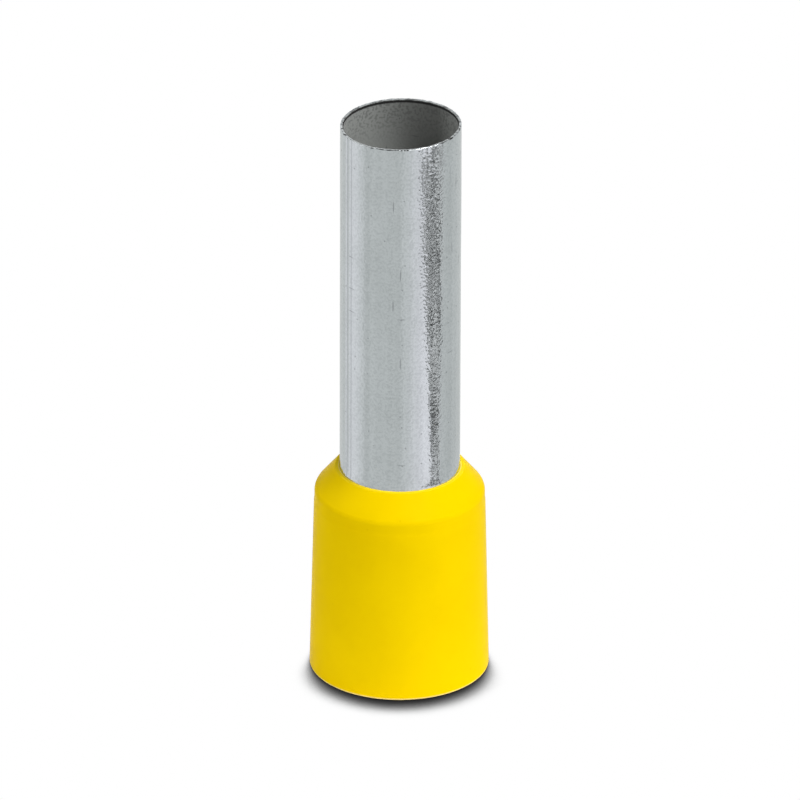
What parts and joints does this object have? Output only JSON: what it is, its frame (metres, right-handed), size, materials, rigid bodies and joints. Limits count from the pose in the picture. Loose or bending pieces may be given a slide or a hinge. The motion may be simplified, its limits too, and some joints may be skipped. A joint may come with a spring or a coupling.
{
  "type": "wire ferrule",
  "caption": "Insulated wire end ferrule: a tin-plated copper crimp sleeve, belled inside a yellow moulded collar that takes the wire's insulation.",
  "frame": {"origin": "centre of the collar's open mouth, in the plane that it stands on", "axes": "+Z along the ferrule's axis, from the collar's mouth to the sleeve's cut rim"},
  "size_m": [0.0116, 0.0116, 0.038],
  "materials": {
    "tin_plated_copper": "drawn copper with a satin tin plating, finely grained, with faint lengthwise die lines",
    "yellow_plastic": "moulded polypropylene, satin, coloured through"
  },
  "bodies": {
    "root": {"crimp_sleeve": "tin_plated_copper", "insulating_collar": "yellow_plastic"}
  },
  "joints": []
}
